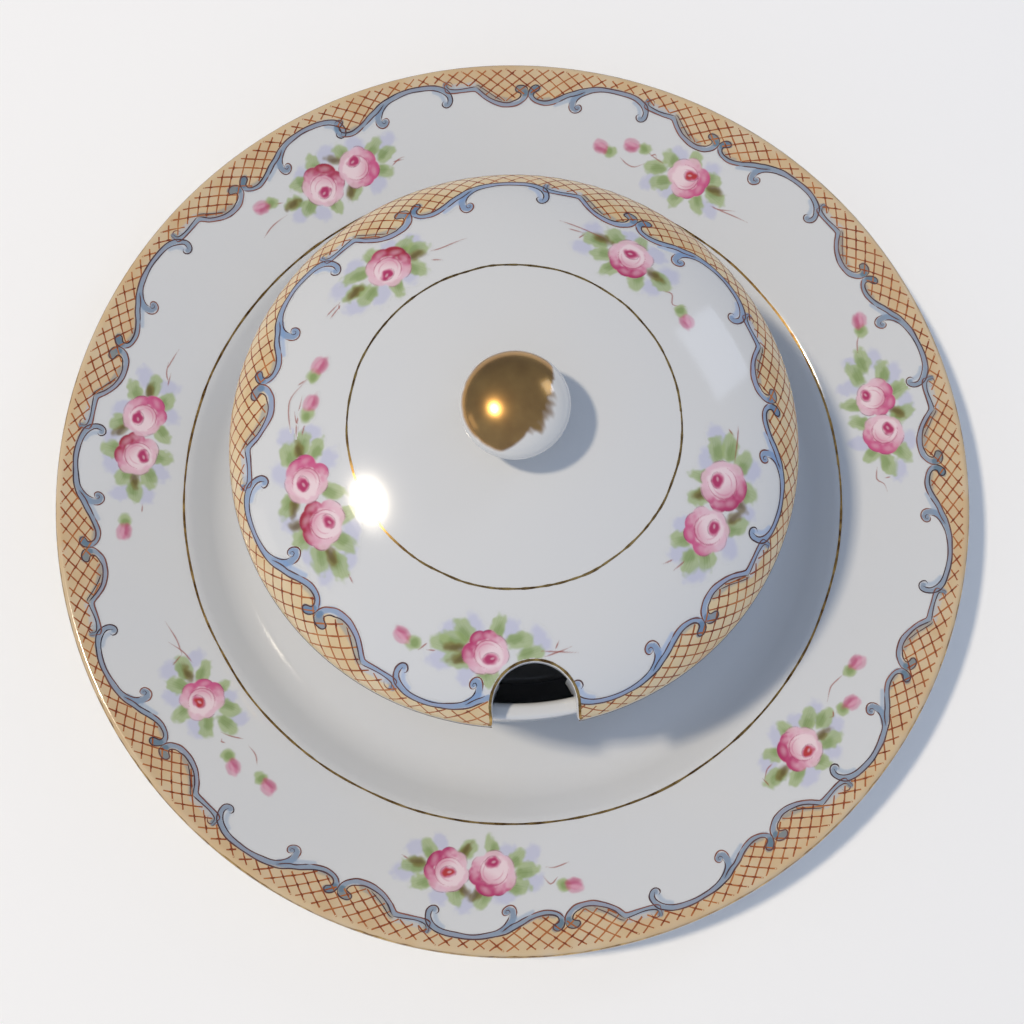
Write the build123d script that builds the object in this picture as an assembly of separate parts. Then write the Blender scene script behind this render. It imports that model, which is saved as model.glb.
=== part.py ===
# Covered porcelain butter dish: a wide-rimmed underplate, a deep butter tub that stands in its well,
# a pierced drainer inside the tub, and a low domed lid with a flattened knob and a notch for the knife.
# Every piece is turned about the Z axis. Z = 0 is the table, and the notch faces -Y. Millimetres.
from build123d import *
import math
import os

# underplate
plate_radius = 108.3      # to the sharp corner; the rounded edge comes to 108
plate_height = 21.25      # to the sharp corner; the rounded edge comes to 21
rim_thickness = 3.4
rim_slope = 14.5          # degrees up from level
well_radius = 70.4        # where the well's floor would meet its wall
wall_slope = 40.0         # degrees up from level
wall_thickness = 4.0
foot_height = 3.0
floor_thickness = 4.0
plate_foot_inner = 61.0
plate_foot_outer = 66.0

# butter tub
tub_rim_outer = 57.8
tub_rim_inner = 54.5
tub_base_outer = 55.8     # the wall flares a little from base to rim
tub_base_inner = 52.5
tub_height = 50.4
tub_floor_thickness = 4.2
tub_foot_inner = 39.5
tub_foot_outer = 44.0

# drainer
drainer_radius = 47.5
drainer_thickness = 3.0
drainer_foot_height = 3.6
drainer_foot_inner = 35.5
drainer_foot_outer = 39.0
drain_hole_radius = 2.5
drain_rings = [(0.0, 1), (14.0, 6), (28.0, 12)]   # ring radius, number of holes

# lid
lid_radius = 59.6
lid_rise = 17.6           # height of the dome above its widest line
lid_lip = 0.8             # height of the widest line above the seat
lid_thickness = 2.8
flange_outer = 53.9       # ring that drops inside the tub and keeps the lid central
flange_inner = 51.3
flange_depth = 4.0
notch_half_width = 8.8
notch_centre = 55.7       # distance of the centre of the notch's round end from the axis

# knob
knob_radius = 10.7
knob_half_height = 6.0    # the ball is pressed flat, so it is wider than it is tall
knob_centre_above_lid = 10.1
neck_radius = 6.0
neck_flare = 1.6

plate_floor = foot_height + floor_thickness
tub_floor = plate_floor + foot_height + tub_floor_thickness
seat_height = plate_floor + tub_height
dome_base = seat_height + lid_lip
lid_top = dome_base + lid_rise


def slope_tangent(degrees):
    return math.tan(math.radians(degrees))


def below(point, degrees, distance):
    # the point at a given distance under a sloping line, square to it
    angle = math.radians(degrees)
    return (point[0] + distance * math.sin(angle), point[1] - distance * math.cos(angle))


def meet(first, first_slope, second, second_slope):
    # where two sloping lines of a profile cross
    a = slope_tangent(first_slope)
    b = slope_tangent(second_slope)
    radius = (second[1] - first[1] + a * first[0] - b * second[0]) / (a - b)
    return (radius, first[1] + a * (radius - first[0]))


def turned(profile):
    return revolve(Plane.XZ * profile, axis=Axis.Z)


def rounded_profile(corners):
    # corners are (radius from the axis, height, rounding)
    points = [(corner[0], corner[1]) for corner in corners]
    roundings = [corner[2] for corner in corners]
    return make_face(FilletPolyline(*points, radius=roundings, close=True))


def make_underplate():
    edge_top = (plate_radius - rim_thickness * math.sin(math.radians(rim_slope)), plate_height)
    edge_under = below(edge_top, rim_slope, rim_thickness)
    well_corner = (well_radius, plate_floor)
    shoulder = meet(well_corner, wall_slope, edge_top, rim_slope)
    wall_under = below(well_corner, wall_slope, wall_thickness)
    shoulder_under = meet(wall_under, wall_slope, edge_under, rim_slope)
    foot_corner = meet(wall_under, wall_slope, (0.0, foot_height), 0.0)
    return turned(rounded_profile([
        (0.0, foot_height, 0.0),
        (plate_foot_inner, foot_height, 1.2),
        (plate_foot_inner + 0.5, 0.0, 1.0),
        (plate_foot_outer - 0.5, 0.0, 1.0),
        (plate_foot_outer, foot_height, 1.2),
        (*foot_corner, 5.0),
        (*shoulder_under, 10.0),
        (*edge_under, 1.5),
        (*edge_top, 1.2),
        (*shoulder, 8.0),
        (*well_corner, 12.0),
        (0.0, plate_floor, 0.0),
    ]))


def make_tub():
    underside = plate_floor + foot_height
    return turned(rounded_profile([
        (0.0, underside, 0.0),
        (tub_foot_inner, underside, 1.2),
        (tub_foot_inner + 0.5, plate_floor, 0.9),
        (tub_foot_outer - 0.5, plate_floor, 0.9),
        (tub_foot_outer, underside, 0.8),
        (tub_base_outer, underside, 10.5),
        (tub_rim_outer, seat_height, 1.0),
        (tub_rim_inner, seat_height, 1.2),
        (tub_base_inner, tub_floor, 9.5),
        (0.0, tub_floor, 0.0),
    ]))


def make_drainer():
    underside = tub_floor + drainer_foot_height
    top = underside + drainer_thickness
    disc = turned(rounded_profile([
        (0.0, underside, 0.0),
        (drainer_foot_inner, underside, 0.8),
        (drainer_foot_inner + 0.3, tub_floor, 0.7),
        (drainer_foot_outer - 0.3, tub_floor, 0.7),
        (drainer_foot_outer, underside, 0.8),
        (drainer_radius, underside, 1.2),
        (drainer_radius, top, 1.2),
        (0.0, top, 0.0),
    ]))
    for ring_radius, count in drain_rings:
        for index in range(count):
            angle = 2.0 * math.pi * index / count
            place = Pos(ring_radius * math.cos(angle), ring_radius * math.sin(angle), underside)
            disc -= place * Cylinder(drain_hole_radius, 3.0 * drainer_thickness)
    return disc


def dome_profile(half_width, rise):
    # quarter ellipse between the axis and the dome's widest line
    curve = EllipticalCenterArc((0.0, dome_base), half_width, rise, 0.0, arc_size=90.0)
    base = Line((0.0, dome_base), (half_width, dome_base))
    axis = Line((0.0, dome_base), (0.0, dome_base + rise))
    return make_face([curve, base, axis])


def block(inner, outer, low, high):
    return make_face(Polyline((inner, low), (outer, low), (outer, high), (inner, high), close=True))


def lid_outside_profile():
    lip = rounded_profile([
        (0.0, seat_height, 0.0),
        (lid_radius - 0.9, seat_height, 0.7),
        (lid_radius, dome_base, 0.0),
        (0.0, dome_base, 0.0),
    ])
    return dome_profile(lid_radius, lid_rise) + lip


def make_lid():
    flange_foot = seat_height - flange_depth
    inner_dome = dome_profile(lid_radius - lid_thickness, lid_rise - lid_thickness)
    hollow = inner_dome & block(0.0, flange_inner, dome_base, lid_top)
    hollow += block(0.0, flange_inner, seat_height, dome_base)
    flange = rounded_profile([
        (flange_inner, flange_foot, 1.0),
        (flange_outer, flange_foot, 1.0),
        (flange_outer, dome_base, 0.0),
        (flange_inner, dome_base, 0.0),
    ])
    return turned(lid_outside_profile() - hollow + flange) - make_notch_cutter()


def make_notch_cutter():
    # U-shaped cut through the edge, for the butter knife
    low = seat_height - flange_depth - 1.0
    mouth_length = lid_radius - notch_centre + 6.0
    mouth = Pos(0.0, -notch_centre - 0.5 * mouth_length) * Rectangle(2.0 * notch_half_width, mouth_length)
    outline = mouth + Pos(0.0, -notch_centre) * Circle(notch_half_width)
    return extrude(Plane.XY.offset(low) * outline, lid_top - low)


def make_knob():
    # a flattened ball on a short flared neck, whose foot follows the dome
    centre = lid_top + knob_centre_above_lid
    ball_start = math.acos(neck_radius / knob_radius)
    join_height = centre - knob_half_height * math.sin(ball_start)
    foot_radius = neck_radius + neck_flare
    foot_angle = math.acos(foot_radius / lid_radius)
    foot_level = dome_base + lid_rise * math.sin(foot_angle)
    under = EllipticalCenterArc((0.0, centre), knob_radius, knob_half_height,
                                360.0 - math.degrees(ball_start), arc_size=math.degrees(ball_start))
    top = centre + knob_half_height
    fullness = 0.55           # how far each end of the crown's curve leads straight on
    crown = Bezier((knob_radius, centre), (knob_radius, centre + fullness * knob_half_height),
                   (fullness * knob_radius, top), (0.0, top))
    axis = Line((0.0, top), (0.0, lid_top))
    foot = EllipticalCenterArc((0.0, dome_base), lid_radius, lid_rise,
                               math.degrees(foot_angle), arc_size=90.0 - math.degrees(foot_angle))
    neck = Bezier((foot_radius, foot_level), (neck_radius, foot_level), (neck_radius, join_height))
    return turned(make_face([under, crown, axis, foot, neck]))


pieces = {
    "underplate": make_underplate(),
    "butter_tub": make_tub(),
    "butter_drainer": make_drainer(),
    "lid_shell": make_lid(),
    "lid_knob": make_knob(),
}

os.makedirs("parts", exist_ok=True)
for name, piece in pieces.items():
    export_step(piece, f"parts/{name}.step")
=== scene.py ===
# Hand-painted porcelain butter dish, dressed around its CAD frame.
# Blender works in metres; the tables below are in mm.
import math
import bmesh
import bpy
import numpy as np
from mathutils import Matrix, Vector


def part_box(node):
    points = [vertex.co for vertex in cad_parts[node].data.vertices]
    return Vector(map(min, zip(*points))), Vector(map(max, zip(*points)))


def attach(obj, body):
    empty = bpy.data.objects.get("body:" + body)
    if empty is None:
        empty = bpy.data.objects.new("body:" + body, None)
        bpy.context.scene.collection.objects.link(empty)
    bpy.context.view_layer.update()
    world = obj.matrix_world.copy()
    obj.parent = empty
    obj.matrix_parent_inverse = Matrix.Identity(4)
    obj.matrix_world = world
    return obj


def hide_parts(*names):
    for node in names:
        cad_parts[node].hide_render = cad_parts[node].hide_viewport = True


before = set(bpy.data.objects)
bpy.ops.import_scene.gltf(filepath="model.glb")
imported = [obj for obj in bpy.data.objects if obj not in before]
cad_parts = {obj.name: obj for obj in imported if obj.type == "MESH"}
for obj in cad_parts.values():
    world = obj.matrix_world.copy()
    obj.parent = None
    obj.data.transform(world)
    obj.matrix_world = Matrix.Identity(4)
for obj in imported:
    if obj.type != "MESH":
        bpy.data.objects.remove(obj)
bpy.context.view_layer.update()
scene = bpy.context.scene


def mm(value):
    return value * 0.001


def hexToLinear(code):
    parts = [int(code[i:i + 2], 16) / 255 for i in (1, 3, 5)]
    return [c / 12.92 if c <= 0.04045 else ((c + 0.055) / 1.055) ** 2.4 for c in parts] + [1.0]


def addNode(tree, kind, settings=None, links=None, place=(0, 0)):
    # settings go on the node's own attributes or on its sockets; links feed its sockets
    node = tree.nodes.new(kind)
    node.location = place
    for key, value in (settings or {}).items():
        if isinstance(key, str) and hasattr(node, key):
            setattr(node, key, value)
        else:
            node.inputs[key].default_value = value
    for key, source in (links or {}).items():
        tree.links.new(source, node.inputs[key])
    return node


def topOf(node):
    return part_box(node)[1].z * 1000


def heading(degrees):
    return math.cos(math.radians(degrees)), math.sin(math.radians(degrees))


# the camera looks down over the notch's side
cameraSetup = {
    "distance": 330.3,      # from the middle of the plate's rim
    "tilt": 13.0,           # degrees off straight down
    "turn": -5.5,           # degrees round from the notch's side
    "roll": 1.34,
    "aim": (-0.1, -7.4),    # where it looks on the level of the plate's rim
    "focal": 49.22,
}


def placeCamera(setup):
    turn = Matrix.Rotation(math.radians(setup["turn"]), 3, "Z")
    tilt = math.radians(setup["tilt"])
    away = turn @ Vector((0, -math.sin(tilt), math.cos(tilt))) * mm(setup["distance"])
    aim = turn @ Vector((mm(setup["aim"][0]), mm(setup["aim"][1]), 0))
    back = (away - aim).normalized()
    right = (turn @ Vector((0, 1, 0))).cross(back).normalized()
    up = back.cross(right)
    c, s = heading(setup["roll"])
    side = c * right + s * up
    top = c * up - s * right
    data = bpy.data.cameras.new("camera")
    data.lens = setup["focal"]
    data.sensor_width = 36
    data.clip_start = 0.01
    camera = bpy.data.objects.new("camera", data)
    spot = Matrix.Translation(away + Vector((0, 0, mm(topOf("underplate")))))
    camera.matrix_world = spot @ Matrix((side, top, back)).transposed().to_4x4()
    scene.collection.objects.link(camera)
    scene.camera = camera


placeCamera(cameraSetup)
print("camera placed")

studio = {
    # a dim blue room, a little brighter towards the front
    "worldColour": "#CCD9F0", "worldBack": 0.40, "worldFront": 0.80,
    "lights": [
        # name, place, size, watts, colour
        ("roofWindow", (-866, 110, 1886), (138, 122), 23.5, "#FFF0D8"),
        ("roofGlow", (-868, 84, 1896), (410, 140), 0.75, "#FFF6EA"),
        ("lowWindow", (-640, -110, 220), (240, 200), 0.1, "#FFF1DC"),
        ("farWindow", (486, 316, 467), (190, 230), 0.3, "#DCE8FF"),
    ],
    "aim": (0, 0, 50),
    "floorSize": 4000, "floorColour": "#FBFBFA", "floorShade": "#F8F8F7",
    "floorPatch": 1000 / 6,    # how broadly the paper's tone drifts
}


def addLights(setup):
    world = bpy.data.worlds.new("studio")
    world.use_nodes = True
    background = world.node_tree.nodes["Background"]
    background.inputs[0].default_value = hexToLinear(setup["worldColour"])
    tree = world.node_tree
    facing = addNode(tree, "ShaderNodeTexCoord", place=(-700, 0)).outputs["Generated"]
    split = addNode(tree, "ShaderNodeSeparateXYZ", links={0: facing}, place=(-500, 0))
    front, rear = setup["worldFront"], setup["worldBack"]
    glow = addNode(tree, "ShaderNodeMapRange", {1: -1.0, 2: 1.0, 3: front, 4: rear},
                   {0: split.outputs["Y"]}, (-300, 0))
    tree.links.new(glow.outputs[0], background.inputs[1])
    scene.world = world
    for name, place, size, watts, colour in setup["lights"]:
        data = bpy.data.lights.new(name, "AREA")
        data.shape = "RECTANGLE"
        data.size, data.size_y = mm(size[0]), mm(size[1])
        data.energy = watts
        data.color = hexToLinear(colour)[:3]
        lamp = bpy.data.objects.new(name, data)
        lamp.location = [mm(v) for v in place]
        aim = Vector([mm(v) for v in setup["aim"]])
        lamp.rotation_euler = (aim - lamp.location).to_track_quat("-Z", "Y").to_euler()
        scene.collection.objects.link(lamp)


addLights(studio)
print("studio lit")


def newMaterial(name):
    material = bpy.data.materials.new(name)
    material.use_nodes = True
    tree = material.node_tree
    return material, tree, tree.nodes["Principled BSDF"]


glaze = {
    "body": "#D5D5D3", "cool": "#CFD2D6",
    "paintDepth": 0.84,   # overglaze colours fire a little darker than they are mixed
    "poolSize": 45,       # how slowly the glaze's tone drifts
    "rippleSize": 9,      # the glaze's faint orange-peel
    "rippleHeight": 0.02,
    "roughness": (0.07, 0.13), "index": 1.52,
}
gold = {
    "bright": "#C2A062", "worn": "#6A4A28", "grain": 2.2, "roughness": (0.06, 0.16),
    "lustre": "#C99E5C", "lustreDeep": "#8A6236", "lustrePatch": 5, "lustreRoughness": (0.08, 0.22),
    "skin": 0.5, "skinRoughness": 0.04,   # the lustre's glassy skin over its brushed haze
}


def cloudedTone(tree, first, second, grain, detail=3.0, limits=(0.0, 1.0)):
    # two tones that gather in patches of a size in mm; also gives the cloud itself
    place = addNode(tree, "ShaderNodeTexCoord", place=(-1300, 200)).outputs["Object"]
    cloud = addNode(tree, "ShaderNodeTexNoise", {"Scale": 1000 / grain, "Detail": detail},
                    {"Vector": place}, (-1100, 200)).outputs["Fac"]
    share = cloud
    if limits != (0.0, 1.0):
        share = addNode(tree, "ShaderNodeMapRange", {1: limits[0], 2: limits[1]}, {0: cloud},
                        (-900, 200)).outputs[0]
    tones = {"data_type": "RGBA", 6: hexToLinear(first), 7: hexToLinear(second)}
    return addNode(tree, "ShaderNodeMix", tones, {0: share}, (-700, 200)).outputs[2], cloud


def makePorcelain(name, painted):
    # hard-paste porcelain under clear glossy glaze: cool white, glassy highlights that waver a little.
    # Overglaze colours come from the piece's "paint" colour layer, whose alpha says how thick they lie.
    material, tree, shader = newMaterial(name)
    colour, pool = cloudedTone(tree, glaze["body"], glaze["cool"], glaze["poolSize"], 2.0)
    if painted:
        paint = addNode(tree, "ShaderNodeAttribute", {"attribute_name": "paint"}, place=(-700, -50))
        layers = {0: paint.outputs["Alpha"], 6: colour, 7: paint.outputs["Color"]}
        colour = addNode(tree, "ShaderNodeMix", {"data_type": "RGBA"}, layers, (-400, 100)).outputs[2]
    place = addNode(tree, "ShaderNodeTexCoord", place=(-1000, -350)).outputs["Object"]
    ripple = addNode(tree, "ShaderNodeTexNoise", {"Scale": 1000 / glaze["rippleSize"], "Detail": 1.0},
                     {"Vector": place}, (-800, -350))
    bump = addNode(tree, "ShaderNodeBump", {"Strength": 0.25, "Distance": mm(glaze["rippleHeight"])},
                   {"Height": ripple.outputs["Fac"]}, (-500, -350))
    low, high = glaze["roughness"]
    rough = addNode(tree, "ShaderNodeMapRange", {3: low, 4: high}, {0: pool}, (-400, -150))
    tree.links.new(colour, shader.inputs["Base Color"])
    tree.links.new(rough.outputs[0], shader.inputs["Roughness"])
    tree.links.new(bump.outputs[0], shader.inputs["Normal"])
    shader.inputs["IOR"].default_value = glaze["index"]
    return material


def makeGildedPorcelain():
    # lustre gold brushed over the knob: a warm brown mirror that ends in ragged strokes on white glaze
    material, tree, shader = newMaterial("gildedPorcelain")
    tone, _ = cloudedTone(tree, gold["lustre"], gold["lustreDeep"], gold["lustrePatch"])
    paint = addNode(tree, "ShaderNodeAttribute", {"attribute_name": "paint"}, place=(-700, -100))
    share = paint.outputs["Alpha"]
    colour = addNode(tree, "ShaderNodeMix", {"data_type": "RGBA", 6: hexToLinear(glaze["body"])},
                     {0: share, 7: tone}, (-400, 150))
    low, high = gold["lustreRoughness"]
    rough = addNode(tree, "ShaderNodeMapRange", {3: low, 4: high}, {0: share}, (-400, -150))
    tree.links.new(colour.outputs[2], shader.inputs["Base Color"])
    tree.links.new(share, shader.inputs["Metallic"])
    tree.links.new(rough.outputs[0], shader.inputs["Roughness"])
    shader.inputs["Coat Weight"].default_value = gold["skin"]
    shader.inputs["Coat Roughness"].default_value = gold["skinRoughness"]
    return material


def makeInk(name, dark, light, grain):
    # overglaze enamel line, printed then touched in by hand: its colour thins and gathers
    material, tree, shader = newMaterial(name)
    tone, _ = cloudedTone(tree, dark, light, grain, limits=(0.32, 0.68))
    tree.links.new(tone, shader.inputs["Base Color"])
    shader.inputs["Roughness"].default_value = 0.22
    shader.inputs["IOR"].default_value = 1.5
    return material


def makeGold(name):
    # liquid bright gold fired on the glaze: a thin metal skin, brown where it has thinned
    material, tree, shader = newMaterial(name)
    tone, thin = cloudedTone(tree, gold["bright"], gold["worn"], gold["grain"], 4.0, (0.35, 0.65))
    low, high = gold["roughness"]
    rough = addNode(tree, "ShaderNodeMapRange", {3: low, 4: high}, {0: thin}, (-400, -150))
    tree.links.new(tone, shader.inputs["Base Color"])
    tree.links.new(rough.outputs[0], shader.inputs["Roughness"])
    shader.inputs["Metallic"].default_value = 1.0
    return material


def makeTable():
    # matt paper sweep, rolled smooth: an even white with no sheen
    material, tree, shader = newMaterial("paperSweep")
    tone, _ = cloudedTone(tree, studio["floorColour"], studio["floorShade"], studio["floorPatch"], 2.0)
    tree.links.new(tone, shader.inputs["Base Color"])
    shader.inputs["Roughness"].default_value = 0.9
    return material


porcelain = makePorcelain("glazedPorcelain", False)
paintedPorcelain = makePorcelain("paintedPorcelain", True)
latticeInk = makeInk("ironRedEnamel", "#8C441E", "#B4723E", 5)
knotInk = makeInk("ironRedPooled", "#662A12", "#8C4422", 3)
scrollInk = makeInk("blackBrownEnamel", "#2E2730", "#6E4A44", 9)
scrollBrown = makeInk("roseBrownEnamel", "#5C322C", "#8C5A4C", 7)
gilded = makeGildedPorcelain()
goldLine = makeGold("gildedLine")
print("materials made")


def meshPiece(name, points, faces, material, body):
    mesh = bpy.data.meshes.new(name)
    mesh.from_pydata((np.asarray(points) * 0.001).tolist(), [], [tuple(map(int, f)) for f in faces])
    mesh.materials.append(material)
    mesh.shade_smooth()
    mesh.update()
    piece = bpy.data.objects.new(name, mesh)
    scene.collection.objects.link(piece)
    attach(piece, body)
    return piece


def roundedProfile(corners, longest=3.0):
    # corners are (radius, height, rounding); the path is split finely so that the glaze shades evenly
    path = []
    count = len(corners)
    for i, (r, z, rounding) in enumerate(corners):
        here = np.array([r, z])
        if rounding == 0:
            path.append(here)
            continue
        before = np.array(corners[i - 1][:2]) - here
        after = np.array(corners[(i + 1) % count][:2]) - here
        before /= np.linalg.norm(before)
        after /= np.linalg.norm(after)
        half = 0.5 * math.acos(float(np.clip(before @ after, -1, 1)))
        middle = here + (before + after) / np.linalg.norm(before + after) * rounding / math.sin(half)
        start = here + before * rounding / math.tan(half)
        end = here + after * rounding / math.tan(half)
        a = math.atan2(*(start - middle)[::-1])
        sweep = (math.atan2(*(end - middle)[::-1]) - a + math.pi) % (2 * math.pi) - math.pi
        steps = max(4, int(abs(sweep) * rounding / 0.9))
        for k in range(steps + 1):
            turn = a + sweep * k / steps
            path.append(middle + rounding * np.array([math.cos(turn), math.sin(turn)]))
    return splitLong(path, longest)


def splitLong(path, longest):
    points = [path[0]]
    for q in path[1:]:
        p = points[-1]
        parts = max(1, int(np.linalg.norm(q - p) / longest))
        points += [p + (q - p) * k / parts for k in range(1, parts + 1)]
    return np.array(points)


def latheMesh(path, columns):
    # the path runs from the axis out and back to the axis, so the turned mesh closes on itself
    ring = path[1:-1]
    turn = np.linspace(0, 2 * math.pi, columns, endpoint=False)
    wide = np.stack([np.outer(ring[:, 0], np.cos(turn)), np.outer(ring[:, 0], np.sin(turn)),
                     np.outer(ring[:, 1], np.ones(columns))], -1).reshape(-1, 3)
    points = np.vstack([wide, [[0, 0, path[0][1]], [0, 0, path[-1][1]]]])
    rows = len(ring)
    faces = []
    for i in range(rows - 1):
        a = i * columns
        for j in range(columns):
            k = (j + 1) % columns
            faces.append((a + j, a + k, a + columns + k, a + columns + j))
    low, high = rows * columns, rows * columns + 1
    last = (rows - 1) * columns
    for j in range(columns):
        k = (j + 1) % columns
        faces.append((low, k, j))
        faces.append((high, last + j, last + k))
    return points, faces


plate = {
    "edge": (108.3, 21.25), "rimThickness": 3.4, "rimSlope": 14.5,
    "wallSlope": 40.0, "wallThickness": 4.0,
    "wellCorner": (70.4, 7.0), "footHeight": 3.0, "foot": (61.0, 66.0),
}
tub = {
    "rim": (54.5, 57.8), "base": (52.5, 55.8), "foot": (39.5, 44.0), "underside": 10.0, "floor": 14.2,
}
lid = {
    "radius": 59.6, "lip": 0.8, "rise": 17.6, "thickness": 2.8,
    "flange": (51.3, 53.9), "flangeDepth": 4.0,
    "notchHalf": 8.45, "notchCentre": 55.9, "notchRounding": 0.45, "notchFlare": 1.1,
}
knob = {"radius": 10.7, "halfHeight": 6.0, "fullness": 0.55, "neck": 6.0, "flare": 1.6}
seatHeight = topOf("butter_tub")
domeBase = seatHeight + lid["lip"]


def beneath(point, degrees, distance):
    # the point at a distance under a sloping line, square to it
    c, s = heading(degrees)
    return (point[0] + distance * s, point[1] - distance * c)


def meet(p, pSlope, q, qSlope):
    # where two sloping lines of a profile cross
    a, b = math.tan(math.radians(pSlope)), math.tan(math.radians(qSlope))
    r = (q[1] - p[1] + a * p[0] - b * q[0]) / (a - b)
    return (r, p[1] + a * (r - p[0]))


def plateProfile():
    rim, wall, thick = plate["rimSlope"], plate["wallSlope"], plate["rimThickness"]
    edgeTop = (plate["edge"][0] - thick * math.sin(math.radians(rim)), plate["edge"][1])
    edgeUnder = beneath(edgeTop, rim, thick)
    shoulder = meet(plate["wellCorner"], wall, edgeTop, rim)
    wallUnder = beneath(plate["wellCorner"], wall, plate["wallThickness"])
    shoulderUnder = meet(wallUnder, wall, edgeUnder, rim)
    footCorner = meet(wallUnder, wall, (0, plate["footHeight"]), 0)
    footIn, footOut = plate["foot"]
    lift = plate["footHeight"]
    return roundedProfile([
        (0, lift, 0), (footIn, lift, 1.2), (footIn + 0.5, 0, 1.0), (footOut - 0.5, 0, 1.0),
        (footOut, lift, 1.2), (*footCorner, 5), (*shoulderUnder, 10), (*edgeUnder, 1.5),
        (*edgeTop, 1.2), (*shoulder, 8), (*plate["wellCorner"], 12), (0, plate["wellCorner"][1], 0),
    ])


def tubProfile():
    low, floor = tub["underside"], tub["floor"]
    footIn, footOut = tub["foot"]
    stand = plate["wellCorner"][1]
    return roundedProfile([
        (0, low, 0), (footIn, low, 1.2), (footIn + 0.5, stand, 0.9), (footOut - 0.5, stand, 0.9),
        (footOut, low, 0.8), (tub["base"][1], low, 10.5), (tub["rim"][1], seatHeight, 1.0),
        (tub["rim"][0], seatHeight, 1.2), (tub["base"][0], floor, 9.5), (0, floor, 0),
    ])


def arcPoints(level, wide, tall, first, last, count):
    # part of an ellipse about the axis
    angles = np.linspace(first, last, count)
    return [np.array([wide * math.cos(a), level + tall * math.sin(a)]) for a in angles]


def domeHeight(r):
    inside = np.clip(1 - (np.asarray(r, float) / lid["radius"]) ** 2, 0, 1)
    return domeBase + lid["rise"] * np.sqrt(inside)


def lidProfile():
    flangeIn, flangeOut = lid["flange"]
    foot = seatHeight - lid["flangeDepth"]
    innerWide, innerRise = lid["radius"] - lid["thickness"], lid["rise"] - lid["thickness"]
    inner = arcPoints(domeBase, innerWide, innerRise, math.pi / 2, math.acos(flangeIn / innerWide), 30)
    ring = roundedProfile([
        (flangeIn, inner[-1][1], 0), (flangeIn, foot, 1.0), (flangeOut, foot, 1.0),
        (flangeOut, seatHeight, 0), (lid["radius"] - 0.9, seatHeight, 0.7),
        (lid["radius"], domeBase, 0),
    ], 1.5)
    outer = arcPoints(domeBase, lid["radius"], lid["rise"], 0, math.pi / 2, 60)
    return np.array(inner + list(ring[1:]) + outer[1:])


def knobProfile():
    # a pressed ball on a short neck that flares on to the dome
    radius, half, full, neck = knob["radius"], knob["halfHeight"], knob["fullness"], knob["neck"]
    centre = topOf("lid_knob") - half
    start = -math.acos(neck / radius)
    join = centre + half * math.sin(start)
    foot = neck + knob["flare"]
    footLevel = float(domeHeight(foot))
    path = [(r, float(domeHeight(r))) for r in (0, foot * 0.5)]
    for u in np.linspace(0, 1, 9)[:-1]:
        v = 1 - u
        path.append((v * v * foot + 2 * u * v * neck + u * u * neck,
                     v * v * footLevel + 2 * u * v * footLevel + u * u * join))
    path += arcPoints(centre, radius, half, start, 0, 50)
    for u in np.linspace(0, 1, 90)[1:]:
        v = 1 - u
        path.append((radius * (v ** 3 + 3 * u * v * v + 3 * u * u * v * full),
                     centre + half * (3 * u * v * v * full + 3 * u * u * v + u ** 3)))
    return np.array(path)


def turnedPiece(name, path, columns, body, stands):
    points, faces = latheMesh(path, columns)
    piece = meshPiece(name, points, faces, porcelain, body)
    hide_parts(stands)
    return piece


def notchSide(y):
    # the notch's straight side, flaring where it meets the rim
    near = np.clip((-57.7 - y) / 1.3, 0, 1)
    return lid["notchHalf"] + lid["notchFlare"] * (1 - np.sqrt(1 - near ** 2))


def notchCutter():
    # the knife notch, with a rounded lip that follows the dome
    half, centre, rounding = lid["notchHalf"], lid["notchCentre"], lid["notchRounding"]
    outline = [((float(notchSide(y)), y), (1, 0)) for y in np.arange(-lid["radius"] - 6, -centre, 0.2)]
    for a in np.linspace(0, math.pi, 41):
        outline.append(((half * math.cos(a), -centre + half * math.sin(a)), (math.cos(a), math.sin(a))))
    outline += [((-x, y), (-1, 0)) for (x, y), _ in reversed([o for o in outline if o[0][1] < -centre])]
    low = seatHeight - lid["flangeDepth"] - 2
    sections = []
    for (x, y), (nx, ny) in outline:
        def levelAt(d):
            r = math.hypot(x + nx * d, y + ny * d)
            return float(domeHeight(min(r, lid["radius"] - 0.12)))
        ring = [(x, y, low), (x, y, levelAt(0) - rounding)]
        for turn in np.linspace(0.15, 1, 6) * math.pi / 2:
            d = rounding * (1 - math.cos(turn))
            ring.append((x + nx * d, y + ny * d, levelAt(d) - rounding * (1 - math.sin(turn))))
        d = rounding + 0.4
        ring.append((x + nx * d, y + ny * d, levelAt(d) + 0.5))
        ring.append((x + nx * d, y + ny * d, topOf("lid_knob")))
        sections.append(ring)
    size = len(sections[0])
    points = [p for ring in sections for p in ring]
    faces = []
    for i in range(len(sections) - 1):
        for k in range(size - 1):
            a, b = i * size + k, (i + 1) * size + k
            faces.append((a, b, b + 1, a + 1))
    count = len(sections)
    faces.append([i * size for i in range(count)][::-1])
    faces.append([i * size + size - 1 for i in range(count)])
    faces.append(list(range(size)) + [(count - 1) * size + k for k in range(size)][::-1])
    mesh = bpy.data.meshes.new("notchCutter")
    mesh.from_pydata((np.array(points) * 0.001).tolist(), [], faces)
    work = bmesh.new()
    work.from_mesh(mesh)
    bmesh.ops.recalc_face_normals(work, faces=work.faces)
    work.to_mesh(mesh)
    work.free()
    cutter = bpy.data.objects.new("notchCutter", mesh)
    scene.collection.objects.link(cutter)
    return cutter


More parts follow.
